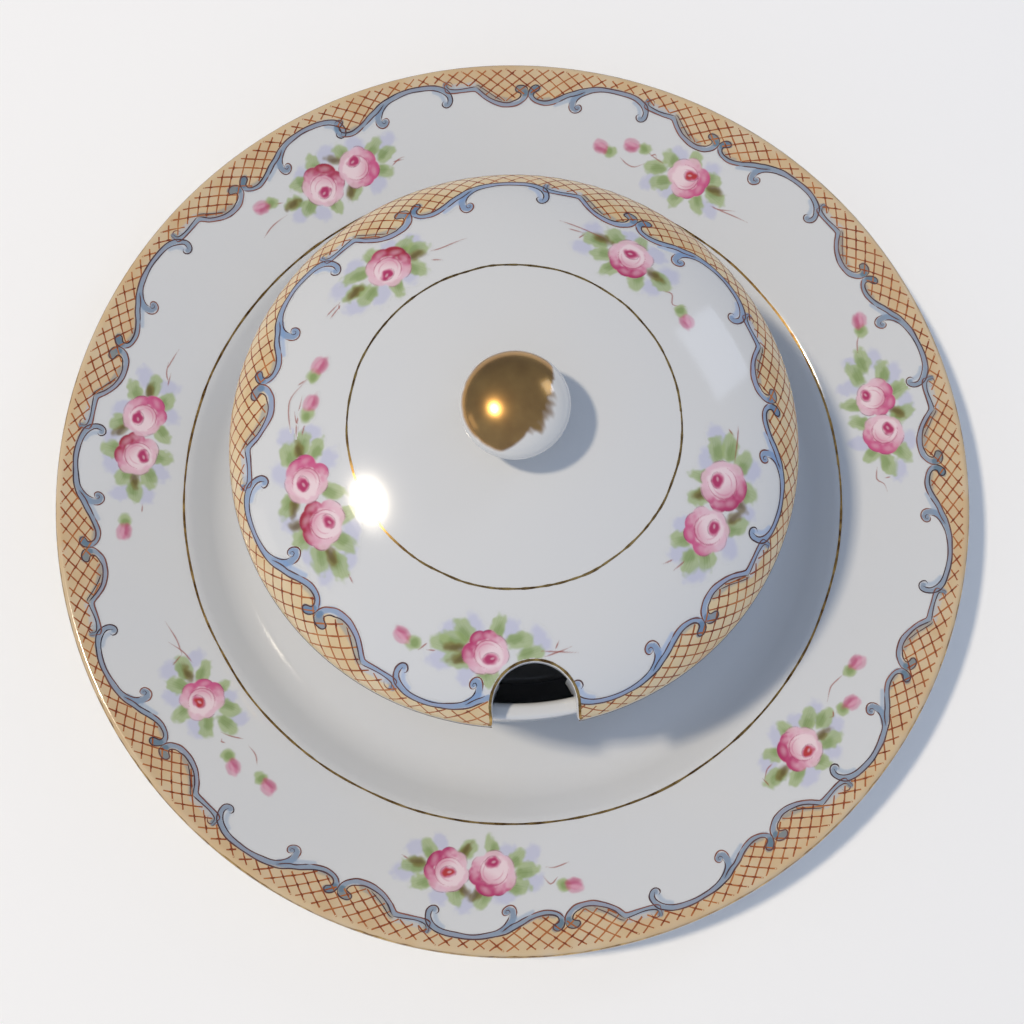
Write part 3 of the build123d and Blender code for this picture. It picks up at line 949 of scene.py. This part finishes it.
# The hand-painted rose sprays, in local mm: clockwise along the rim, then outwards. A rose is
# (along, out, size, way its shaded side faces in degrees, heart offset, shaded tone, heart tone); a
# bud is its head and its calyx.
petalTones = {
    "pale": "#F0C6D4", "cup": "#FBE6EA", "pink": "#D4558A", "rose": "#B93468", "red": "#A62630",
    "scarlet": "#C03630", "plum": "#6E2848", "leaf": "#AABD80", "leafDeep": "#829C54",
    "moss": "#6C8444", "olive": "#80702E", "umber": "#5C421C",
    "lavender": "#C2C4E4", "tendril": "#A04632",
}
sprays = [
    {"on": "plate", "at": (8, 90), "roses": [(-2.7, 0.4, 4.4, 60, (-1.2, -1.9), "pink", "rose"),
                                            (6.2, 0.2, 4.6, -35, (-0.9, 1.3), "pink", "rose")],
     "leaves": [(-3.2, 6.1), (11.2, 3.7), (14.2, 0.3), (11.2, -3.5), (2.5, -4.7), (-2.7, -5.4),
                (-10.2, -2.3), (-12.8, 0.6), (-8.3, 3.9), (2.4, 5.6)],
     "olive": [(1.7, 4.5), (8.9, 0.4)], "lavender": [(-7, 6), (-11.6, 3.2), (0.3, 6.9), (8.8, 5.2),
                                                     (15.5, 2.7), (7.8, -5.7), (-7.2, -4.8),
                                                     (-12.4, -1.8)],
     "tendrils": [[(14.3, -2.5), (17.3, -2.8), (18.6, -1.2), (20.6, -0.5)], [(17, 0.4), (17.2, -1)],
                  [(-14.6, 0.3), (-17.2, 1.4), (-19.2, 3.2)]],
     "buds": [(-21.6, 4.2, 1.9, -19.2, 3.4)]},
    {"on": "plate", "at": (57.5, 90), "roses": [(1.2, 0, 4.8, -10, (0.3, 1.1), "pink", "scarlet")],
     "leaves": [(1, 4.6), (6.7, 2.6), (9.8, -0.7), (6.3, -4.3), (0.7, -5.8), (-4.8, -3.6), (-7.9, -0.6),
                (-4.6, 2.8)],
     "olive": [(8.4, 0.8)], "lavender": [(-2.9, 4.3), (5.4, 4.4), (-1.9, -4.6), (-7.6, -4.4),
                                         (9.6, -3.8)],
     "tendrils": [[(-16.8, -1.2), (-14.6, -2.3), (-12.5, -2.4), (-10.4, -0.8)],
                  [(-9.6, 1.5), (-8.7, 2.3), (-8, 1.7)], [(9.6, -2.9), (12, -2.6), (15.6, -0.7)],
                  [(11.2, -2.9), (20, -1)], [(-6, 1), (-9, 1.6), (-11, 2.4)]],
     "buds": [(-14.9, 2.4, 1.9, -11.5, 2.6), (-22.2, 0.2, 1.9, -19.6, -0.5)]},
    {"on": "plate", "at": (117, 90), "roses": [(-0.7, 0.1, 5.0, 52, (-0.7, -1.6), "red", "rose"),
                                              (9.1, 0.2, 4.8, -28, (-0.5, 2.0), "pink", "rose")],
     "leaves": [(-0.5, 5.7), (6.7, 5.6), (14.4, 3.7), (17, 1.2), (14.9, -3), (5.8, -4.7), (-0.5, -5.4),
                (-7.2, -2.8), (-9.6, 0.3), (-5.8, 3.4)],
     "olive": [(4.6, 4.4), (4.7, -4.3), (-9.8, 0.2)],
     "lavender": [(-4.2, 4.9), (3.1, 6.4), (10.6, 5.6), (-4.6, -5.6), (12, -5.2), (-9.8, -3),
                  (17.4, 3.6)],
     "tendrils": [[(-20.7, -1.8), (-17, -1), (-12.5, -1)], [(-13.2, 2.8), (-11.4, 1.9)],
                  [(17.8, -1.4), (20.6, -1.6)], [(17.2, -2.3), (19.4, -1.2), (21, -1)]],
     "buds": [(-16.3, 4.2, 1.9, -13.8, 3.5)]},
    {"on": "plate", "at": (166.5, 90), "roses": [(-7.0, 0.6, 4.8, 52, (-0.4, -1.7), "red", "rose"),
                                                (2.5, 0.4, 4.8, -25, (-1.0, 1.4), "pink", "rose")],
     "leaves": [(-6.6, 6.3), (-0.3, 6), (7.8, 4.3), (10.4, 0.2), (7.4, -3.6), (-1.3, -4.6),
                (-7.1, -5.2), (-13, -2.9), (-16.3, 0.1), (-12.8, 3.1)],
     "olive": [(-2, 5.1), (8, 0.8), (-13.4, 0.3)],
     "lavender": [(-9.8, 5.8), (-3.6, 6.8), (3, 5.8), (-16.6, 3.1), (-11, -5.2), (4, -5.4), (10.8, -3),
                  (-17, -2.4), (11.4, 2.9)],
     "tendrils": [[(12.4, -2.4), (14.2, -1.4), (17, -0.8)], [(11.2, -2.7), (14.6, -2.4)],
                  [(15, -1.1), (21, -1.8)], [(-21.4, -1.5), (-19.2, -1.7)]],
     "buds": [(-25.8, 2.8, 1.9, -23.2, 2.4)]},
    {"on": "plate", "at": (211, 90), "roses": [(0.2, -2, 4.7, -35, (-0.2, 1.0), "pink", "scarlet")],
     "leaves": [(-0.3, 3.2), (-6, 0.9), (-9, -3.2), (-5.8, -6), (0, -7), (5.9, 1.3), (9.2, -2),
                (5.9, -5.8)],
     "olive": [(7, -2.1)], "lavender": [(-4.7, 2.6), (3.7, 3.3), (9.8, 1), (9.5, -5.4), (-9, -6),
                                        (-3.2, -6.5)],
     "tendrils": [[(10.5, 0), (12, -3)], [(9, -4.3), (12.5, -3.4), (16, -1.3)],
                  [(12, -3), (16, -3.2), (21, -2.3)], [(-13.6, -3.8), (-11, -2), (-9, -1)],
                  [(-20.5, -1.9), (-18.5, -3.3), (-15.5, -3.7)], [(-11.6, -0.2), (-10.8, 0.3),
                                                                  (-10.2, -0.3)]],
     "buds": [(-17, 2.2, 1.8, -14.2, 1.3), (-25.9, 0.2, 1.9, -23.2, -0.3)]},
    {"on": "plate", "at": (261, 90), "roses": [(-2.9, 0, 4.9, 62, (0.1, -2.5), "rose", "rose"),
                                              (7.4, 0.3, 4.9, -30, (-0.4, 0.5), "rose", "scarlet")],
     "leaves": [(-1, 5.5), (-8.7, 2.7), (-11, -0.8), (-8.5, -3.7), (-2.5, -5.8), (3, -5), (4.7, 5.3),
                (12.5, 4), (15.3, 0.8), (12.5, -3.7)],
     "olive": [(0.2, 4.7), (3.1, 4.4), (4, -4.4), (14, -0.2)],
     "lavender": [(-6, 4.8), (-11.8, 1.8), (-12, -4.2), (-6, -5), (2, 6.8), (8, 6.1), (17, 2.8),
                  (15.5, -3.2), (10, -5.5)],
     "tendrils": [[(-17.5, 1.2), (-15.8, 2.6), (-14.3, 0.7)], [(-20.5, -1.8), (-17, -1), (-15, -1.3)],
                  [(16.5, -0.2), (18.2, -0.7)]],
     "buds": [(-20.9, 3.5, 1.9, -18.6, 3.1)]},
    {"on": "plate", "at": (313, 90), "roses": [(0.6, 0.6, 4.8, -25, (-0.7, 1.8), "rose", "scarlet")],
     "leaves": [(-0.1, 6.2), (5.9, 4.3), (9.9, 1.1), (5.9, -2.9), (-0.6, -4.6), (-6.1, -2.3),
                (-8.6, 0.6), (-5.4, 4.6)],
     "olive": [(7.2, 1.5), (-4.9, 2.3)],
     "lavender": [(-3.6, 6.2), (3.6, 6.3), (-8, 3.4), (-8.4, -1.8), (-4.1, -4), (2.2, -5), (8.4, -2.3)],
     "tendrils": [[(-19.6, -1), (-16.2, -2), (-14.4, -1.8), (-11.9, -0.9)],
                  [(7.4, -1.5), (9.5, -1.4), (11.8, 0.1)], [(11.7, 1.6), (11.7, -0.6)],
                  [(-11, 1.2), (-9.9, 2), (-9.2, 1.5)]],
     "buds": [(-14.8, 3.8, 1.8, -12.4, 2.9), (-23.6, 0.6, 1.9, -21, 0)]},
    {"on": "lid", "at": (52, 44), "roses": [(0.1, -1, 4.5, -75, (-0.5, 1.2), "rose", "rose")],
     "leaves": [(-0.1, 3.2), (-4.9, 2.2), (-8.8, -0.8), (-6.2, -3.6), (-2.7, -5.8), (4.3, -4.9),
                (8.6, -1)],
     "olive": [(6, -0.8), (-7.1, 0.3)],
     "lavender": [(-2.3, 3.6), (3.4, 3.5), (8.2, 1.2), (-9.7, 1.2), (-10.4, -3.6), (7.8, -3.6)],
     "tendrils": [[(-16.7, 1.6), (-11, 0.9), (-6.2, 0.5)], [(-14.7, 0), (-11, 0)],
                  [(-11.9, -1.7), (-11, -0.2)], [(10, -2.3), (11.7, -1.2), (13.7, -2.8), (15.6, -0.6)]],
     "buds": [(18.6, -2.6, 1.7, 16, -2.3)]},
    {"on": "lid", "at": (122, 43), "roses": [(-1, -0.4, 4.6, 42, (-1.2, -1.3), "red", "rose")],
     "leaves": [(-1.9, 3.9), (-7.2, 3.3), (-10, 0.4), (-8.7, -2.4), (-2.6, -5.5), (4, -4.6),
                (5.9, -0.2), (4, 2)],
     "olive": [(4.8, -1.3), (-9.6, 0.3)],
     "lavender": [(-10.9, 3.1), (-6.1, 4.8), (1.8, 3.4), (6, 1.8), (-12.2, -2.2), (-6.5, -4.4),
                  (1.4, -4.6)],
     "tendrils": [[(-17, 2.2), (-13.1, 1.5)], [(-17, 1.1), (-13.5, 0.9)], [(-14.4, 0.6), (-13.5, 1.5)],
                  [(8.3, -2), (11, -2.4), (16.9, -1.8)], [(7.7, -4.2), (10, -5.3)]],
     "buds": []},
    {"on": "lid", "at": (195, 43.5), "roses": [(-6.5, -0.5, 4.6, 50, (-0.3, -1.3), "red", "rose"),
                                              (3.2, -0.5, 4.6, -20, (-0.6, 0.9), "pink", "rose")],
     "leaves": [(-7, 4.9), (-0.5, 4.9), (-12, 3.8), (-15.6, 1.5), (-12.5, -2.3), (-7.5, -5.6),
                (-1.5, -5.3), (9.2, 2.5), (11, -0.6), (9.5, -3.9)],
     "olive": [(-0.9, 3.5), (-4.5, 4.2), (-13, 1.5), (9, 0)],
     "lavender": [(-14.3, 4.2), (-10, 5), (-3, 5.8), (5.5, 4.7), (12.5, 2.5), (-15.3, -1.2),
                  (-11.3, -4.8), (6, -5.8), (12.5, -2.5)],
     "tendrils": [[(13.6, 0), (17.6, 1.1)], [(12.5, -0.8), (15.5, -1.6)], [(14.6, 0.3), (21, -0.2)],
                  [(-19.6, 1.6), (-17.8, 1)]],
     "buds": []},
    {"on": "lid", "at": (260, 46), "roses": [(0.8, -0.2, 4.4, -40, (-1, 1.2), "rose", "rose")],
     "leaves": [(0, 4.6), (-8.3, -0.2), (-6, -2.9), (-1, -5.4), (6.2, 2.3), (9.6, 0), (8, -1.6),
                (6.2, -4)],
     "olive": [(5.4, 1.9), (7.2, 0)], "lavender": [(4, 4.9), (9, 3), (8.7, -2.8), (4.2, -5.2), (-4, -5),
                                                   (-10, -2.8)],
     "tendrils": [[(-10, -0.5), (-13.5, 0.2), (-17, 1.2)], [(-10.5, 0.7), (-16, -0.3)],
                  [(-12.8, -0.5), (-13.8, -2)], [(10.5, 1.7), (12.2, 2.2)], [(12.5, 0.8), (13.7, 3)]],
     "buds": [(17.6, 1.5, 1.7, 15.1, 1.9)]},
    {"on": "lid", "at": (334, 44), "roses": [(-4.2, -0.4, 4.9, 45, (-0.7, -1.6), "rose", "rose"),
                                            (5.8, -0.4, 4.7, -35, (-1.4, 1.2), "pink", "rose")],
     "leaves": [(-4.5, 5.2), (2.1, 5.2), (10.4, 2.9), (13, 0.4), (10.4, -3.9), (0.3, -4.9),
                (-4.5, -5.4), (-11.7, -3.5), (-12.5, -0.4), (-9.9, 2.8)],
     "olive": [(-2, 3.9), (1, 3.8), (-0.9, -4.2)],
     "lavender": [(-8.6, 4.8), (-1, 6), (6, 5.2), (13.9, 2.8), (-8.4, -5), (7.3, -5), (-14, -3.2),
                  (13, -2.2)],
     "tendrils": [[(-17, 1.3), (-13, 1), (-9.6, 0.8)], [(-16.2, -0.9), (-14.9, 0.2)],
                  [(13.4, -0.6), (16.5, -1.1)], [(14.8, -2.6), (17, -3.5)]],
     "buds": []},
    {"on": "lid", "at": (162, 42), "roses": [], "leaves": [], "olive": [], "lavender": [],
     "tendrils": [[(-11.3, 3.2), (-7, 4), (-4.5, 3.8), (-1.5, 1.7), (-0.2, 0.6)],
                  [(-2, 2.9), (-0.6, 1.2)], [(-9.7, 2), (-12.6, 2)]],
     "buds": [(2.8, -0.6, 1.9, 0.3, 0), (-5.4, -0.8, 1.8, -7.9, -0.2)]},
]


def spread(x, y, centre, size, turn):
    # distance from a soft oval's middle, 1 at its outline
    c, s = heading(turn)
    u, v = x - centre[0], y - centre[1]
    return np.hypot((u * c + v * s) / size[0], (v * c - u * s) / size[1])


def dab(canvas, x, y, centre, size, turn, tone, strength, soft=0.35, ragged=0.12):
    edge = (mottle(x + centre[0] * 3, y + centre[1] * 5, 0.9) - 0.5) * 2 * ragged
    far = spread(x, y, centre, size, turn) + edge
    lay(canvas, petalTones[tone], strength * fade(far, 1 - soft, 1 + soft))


def outline(canvas, x, y, centre, size, turn, sweep, tone, strength, width=0.16):
    c, s = heading(turn)
    path = []
    for a in np.radians(np.linspace(*sweep, 12)):
        u, v = size[0] * math.cos(a), size[1] * math.sin(a)
        path.append((centre[0] + u * c - v * s, centre[1] + u * s + v * c))
    brush(canvas, x, y, path, width, petalTones[tone], strength, 0.2, (0.25, 0.25))


def paintRose(canvas, x, y, rose, hand):
    cx, cy, size, facing, heart, shadeTone, heartTone = rose
    fx, fy = heading(facing)
    size *= 1.07
    petals = []
    for k in range(7):       # scalloped outer petals, no two alike
        a = math.radians(facing + k * 51.4 + hand.uniform(-13, 13))
        far, deep, wide = hand.uniform(0.56, 0.66), hand.uniform(0.36, 0.42), hand.uniform(0.4, 0.54)
        petals.append((cx + far * size * math.cos(a), cy + far * size * math.sin(a), math.degrees(a),
                       (deep * size, wide * size)))
        dab(canvas, x, y, petals[-1][:2], petals[-1][3], math.degrees(a), "pale", 0.85, 0.13, 0.08)
    dab(canvas, x, y, (cx, cy), (0.8 * size, 0.76 * size), 0, "pale", 0.9, 0.2)
    inside = fade(np.min([spread(x, y, p[:2], p[3], p[2]) for p in petals]
                         + [spread(x, y, (cx, cy), (0.8 * size, 0.76 * size), 0)], axis=0), 0.96, 1.1)
    # the shaded side, deepest at its rim and streaked towards the light one
    streak = (mottle((x - cx) * 2.2, (y - cy) * 2.2, 1.5) - 0.5) * 0.35 * size
    reach = (x - cx) * fx + (y - cy) * fy + streak
    full = 1.0 if shadeTone in ("red", "rose") else 0.9
    lay(canvas, petalTones["pink"], 0.9 * full * fade(reach, size * 0.75, -size * 0.35) * inside)
    lay(canvas, petalTones[shadeTone], 0.92 * full * fade(reach, size * 0.95, size * 0.1) * inside)
    for px, py, a, (deep, wide) in petals:
        turned = abs((a - facing + 180) % 360 - 180)
        if turned < 100:     # petals turned over on the shaded side catch a paler edge
            ax, ay = heading(a)
            lip = (px + 0.14 * size * ax, py + 0.14 * size * ay)
            lean = a + hand.uniform(-25, 25)
            dab(canvas, x, y, lip, (0.11 * size, 0.2 * size), lean, "pale", 0.4, 0.8)
            outline(canvas, x, y, (px, py), (deep * 0.6, wide * 0.75), a, (110, 240), "plum", 0.3, 0.25)
        first = hand.uniform(-66, -20)
        outline(canvas, x, y, (px, py), (deep, wide), a, (first, first + hand.uniform(50, 105)), "plum",
                hand.uniform(0.35, 0.75), 0.17)
    cup = (cx - 0.14 * size * fx, cy - 0.14 * size * fy)
    dab(canvas, x, y, cup, (0.64 * size, 0.6 * size), facing, "cup", 0.85, 0.12)
    glow = fade(spread(x, y, cup, (0.64 * size, 0.6 * size), facing), 0.98, 1.0)
    reach = (x - cup[0]) * fx + (y - cup[1]) * fy
    lay(canvas, petalTones["pink"], 0.5 * glow * fade(reach, 0.7 * size, 0.05))
    outline(canvas, x, y, cup, (0.64 * size, 0.6 * size), facing, (-120, 125), "rose", 0.75, 0.2)
    for grow, sweep in ((0.5, (-95, 25)), (0.42, (30, 130))):
        start = hand.uniform(-15, 15)
        outline(canvas, x, y, cup, (grow * size, grow * 0.9 * size), facing + start, sweep, "pink",
                0.42, 0.24)
    spot = (cx + heart[0], cy + heart[1])
    dab(canvas, x, y, spot, (0.33 * size, 0.25 * size), 8, "pink", 0.75, 0.2, 0.2)
    dab(canvas, x, y, spot, (0.25 * size, 0.19 * size), 8, heartTone, 0.95, 0.25, 0.35)
    outline(canvas, x, y, spot, (0.34 * size, 0.27 * size), 8, (150, 400), "plum", 0.5, 0.15)
    dab(canvas, x, y, (spot[0] - 0.25, spot[1] - 0.1), (0.09 * size, 0.05 * size), 20, "pale", 0.6, 0.5)


def paintLeaf(canvas, x, y, spot, middle, hand):
    away = math.degrees(math.atan2(spot[1] - middle[1], spot[0] - middle[0])) + hand.uniform(-16, 16)
    c, s = heading(away)
    long, wide = hand.uniform(2.6, 3.2), hand.uniform(1.6, 2.0)
    spot = (spot[0] - 0.3 * c, spot[1] - 0.3 * s)
    side = hand.choice((-1, 1))
    dab(canvas, x, y, spot, (long, wide), away, "leaf", 0.82, 0.2, 0.2)
    dab(canvas, x, y, (spot[0] - 0.9 * c - side * 0.5 * s, spot[1] - 0.9 * s + side * 0.5 * c),
        (long * 0.62, wide * 0.6), away, "leafDeep", 0.6, 0.5, 0.3)
    for k in (-0.5, 0.1, 0.6):      # the brush's hairs show along the leaf
        tail = (spot[0] + 0.75 * long * c - k * wide * s * 0.6,
                spot[1] + 0.75 * long * s + k * wide * c * 0.6)
        root = (spot[0] - 0.8 * long * c - k * wide * s * 0.3,
                spot[1] - 0.8 * long * s + k * wide * c * 0.3)
        brush(canvas, x, y, [root, tail], 0.25, petalTones["moss"], hand.uniform(0.1, 0.3), 0.3,
              (0.2, 0.5))


def paintSpray(number, spray):
    hand = np.random.default_rng(100 + number)
    kind, ground = spray["on"], {"plate": plateGround, "lid": lidGround}[spray["on"]]
    degrees, radius = spray["at"]
    everything = [r[:2] for r in spray["roses"]] + spray["leaves"] + spray["lavender"]
    everything += [p for t in spray["tendrils"] for p in t] + [b[:2] for b in spray["buds"]]
    low, high = np.min(everything, 0) - 4, np.max(everything, 0) + 4
    step = 0.19
    x, y = np.meshgrid(np.arange(low[0], high[0], step), np.arange(low[1], high[1], step))
    canvas = newCanvas(x.shape)
    for spot in spray["lavender"]:
        dab(canvas, x, y, spot, (hand.uniform(2.3, 2.9), hand.uniform(1.7, 2.1)), hand.uniform(0, 180),
            "lavender", 0.6, 0.36, 0.2)
    middles = [r[:2] for r in spray["roses"]]
    for spot in spray["leaves"]:
        middle = min(middles, key=lambda m: math.dist(m, spot))
        paintLeaf(canvas, x, y, spot, middle, hand)
    for spot in spray["olive"]:
        middle = min(middles, key=lambda m: math.dist(m, spot))
        away = math.degrees(math.atan2(spot[1] - middle[1], spot[0] - middle[0]))
        dab(canvas, x, y, spot, (2.4, 1.1), away, "olive", 0.75, 0.35, 0.25)
        dab(canvas, x, y, spot, (1.5, 0.55), away + 12, "umber", 0.55, 0.55, 0.3)
    for path in spray["tendrils"]:
        brush(canvas, x, y, path, 0.3, petalTones["tendril"], 0.8, 0.22, (0.2, 0.45))
    for bx, by, size, kx, ky in spray["buds"]:
        lean = math.degrees(math.atan2(ky - by, kx - bx))
        dab(canvas, x, y, (kx, ky), (1.6, 1.5), lean, "leaf", 0.85, 0.25, 0.2)
        dab(canvas, x, y, (kx - 0.2, ky), (0.9, 0.9), lean, "leafDeep", 0.7, 0.5, 0.3)
        for corner in (-0.45, 0.45):
            dab(canvas, x, y, (bx, by + corner), (size * 1.0, size * 0.72), lean, "pink", 0.5, 0.22,
                0.1)
        dab(canvas, x, y, (bx + 0.3, by - 0.8), (size * 0.85, size * 0.35), lean + 12, "rose", 0.5, 0.5,
            0.3)
        dab(canvas, x, y, (bx - 0.2, by + 0.4), (size * 0.85, size * 0.22), lean - 8, "pale", 0.4, 0.6,
            0.3)
    for rose in spray["roses"]:
        paintRose(canvas, x, y, rose, hand)
    angle = math.radians(degrees) - x / radius
    way = wayAt(ground, radius) - y
    points = onGround(ground, angle, way, 0.01 + 0.0015 * number).reshape(-1, 3)
    faces = gridFaces(*x.shape)
    colour = canvas.reshape(-1, 4)
    faces = faces[(colour[faces][:, :, 3] > 0.01).any(1)]
    if kind == "lid":
        faces = clearNotch(points, faces, lid["notchRounding"] + 0.2)
    paintedPiece(f"{kind}Spray{number:02d}", points, faces, colour, ware[kind]["body"])


for number, spray in enumerate(sprays, 1):
    paintSpray(number, spray)
print("sprays painted")


gilding = {
    # from and to, counted inwards from the widest line
    "plateEdge": (-0.3, 1.9), "lidEdge": (-0.3, 0.55),
    "plateRing": (79.1, 0.5), "lidRing": (33.5, 0.42),   # radius, width
    "notchLine": (-0.02, 0.55),
    # the knob's gold ends this high on the ball, and higher on the side that hands have worn
    "knobEdge": 0.34, "knobWorn": 0.72, "wornSide": (0.85, -0.53), "wornFrom": 0.16, "wornTo": 0.56,
}


def gildEdge(name, ground, reach, body, clear=False):
    columns, rows = 720, 9
    angle = np.linspace(0, 2 * math.pi, columns + 1)[None, :] + np.zeros((rows, 1))
    ragged = (mottle(angle * 60, 0 * angle, 1.2) + mottle(angle * 60, 0 * angle + 30, 5) - 1) * 0.3
    share = np.linspace(0, 1, rows)[:, None]
    way = reach[0] + (reach[1] + ragged - reach[0]) * share
    points = onGround(ground, angle, way, 0.06).reshape(-1, 3)
    faces = gridFaces(rows, columns + 1)
    if clear:
        faces = clearNotch(points, faces, lid["notchRounding"] * 0.5)
    a, b, d = points[faces[:, 0]], points[faces[:, 1]], points[faces[:, 3]]
    out = np.cross(b - a, d - a)
    middle = points[faces].mean(1)
    inward = (out[:, :2] * middle[:, :2]).sum(1) * 0.3 + out[:, 2] * 100 < 0
    faces[inward] = faces[inward][:, ::-1]
    meshPiece(name, points, faces, goldLine, body)


def gildRing(name, ground, radius, width, body, slot):
    angle = np.linspace(0, 2 * math.pi, 1441)
    press = width * (0.65 + 0.7 * mottle(angle * 60, 0 * angle + 3, 2.0))
    wobble = (mottle(angle * 60, 0 * angle + 11, 9) - 0.5) * 0.3
    sheet = newSheet()
    addStrip(sheet, ground, angle, wayAt(ground, radius) + wobble, press, 0.05)
    layStrips(name, sheet, goldLine, body)


def drawNotchLine(offset, width):
    half, centre = lid["notchHalf"] + lid["notchRounding"] + offset, -lid["notchCentre"]
    turn = np.linspace(0, math.pi, 60)
    edge = -math.sqrt((lid["radius"] - 0.1) ** 2 - (half + lid["notchFlare"]) ** 2)
    side = np.linspace(edge, centre, 24)
    out = notchSide(side) + half - lid["notchHalf"]
    x = np.concatenate([out, half * np.cos(turn), -out[::-1]])
    y = np.concatenate([side, centre + half * np.sin(turn), side[::-1]])
    sheet = newSheet()
    angle = np.arctan2(y, x)
    press = width * (0.8 + 0.4 * mottle(x * 2, y * 2, 1.3))
    addStrip(sheet, lidGround, angle, wayAt(lidGround, np.hypot(x, y)), press, 0.08)
    layStrips("notchLine", sheet, goldLine, "lid")


def gildKnob():
    mesh = knobSkin.data
    spots = np.array([v.co for v in mesh.vertices]) * 1000
    radius, half = knob["radius"], knob["halfHeight"]
    way = (spots - np.array([0, 0, topOf("lid_knob") - half])) / np.array([radius, radius, half])
    side = way[:, :2] @ np.array(gilding["wornSide"])
    worn = fade(side, gilding["wornTo"], gilding["wornFrom"])
    edge = gilding["knobEdge"] + (gilding["knobWorn"] - gilding["knobEdge"]) * worn
    across, up = spots[:, 0] + spots[:, 1] * 0.3, spots[:, 1] - spots[:, 2] * 0.6
    stroke = (mottle(across, up, 2.9) - 0.5) * 0.2 + (mottle(across + 40, up, 0.9) - 0.5) * 0.09
    share = fade(way[:, 2] - edge + stroke * (0.35 + 0.65 * worn), 0.08, -0.08)
    colour = np.tile(hexToLinear(gold["lustre"]), (len(spots), 1))
    colour[:, 3] = share
    layPaint(mesh, colour)
    mesh.materials.clear()
    mesh.materials.append(gilded)


gildEdge("plateGoldEdge", plateGround, gilding["plateEdge"], "plate")
gildEdge("lidGoldEdge", lidGround, gilding["lidEdge"], "lid", True)
gildRing("plateGoldRing", plateGround, *gilding["plateRing"], "plate", "plate_porcelain")
gildRing("lidGoldRing", lidGround, *gilding["lidRing"], "lid", "lid_porcelain")
drawNotchLine(*gilding["notchLine"])
gildKnob()
print("gilding laid")

bpy.ops.mesh.primitive_plane_add(size=mm(studio["floorSize"]))
floor = bpy.context.object
floor.name = "floor"
floor.data.materials.append(makeTable())

scene.view_settings.view_transform = "Standard"
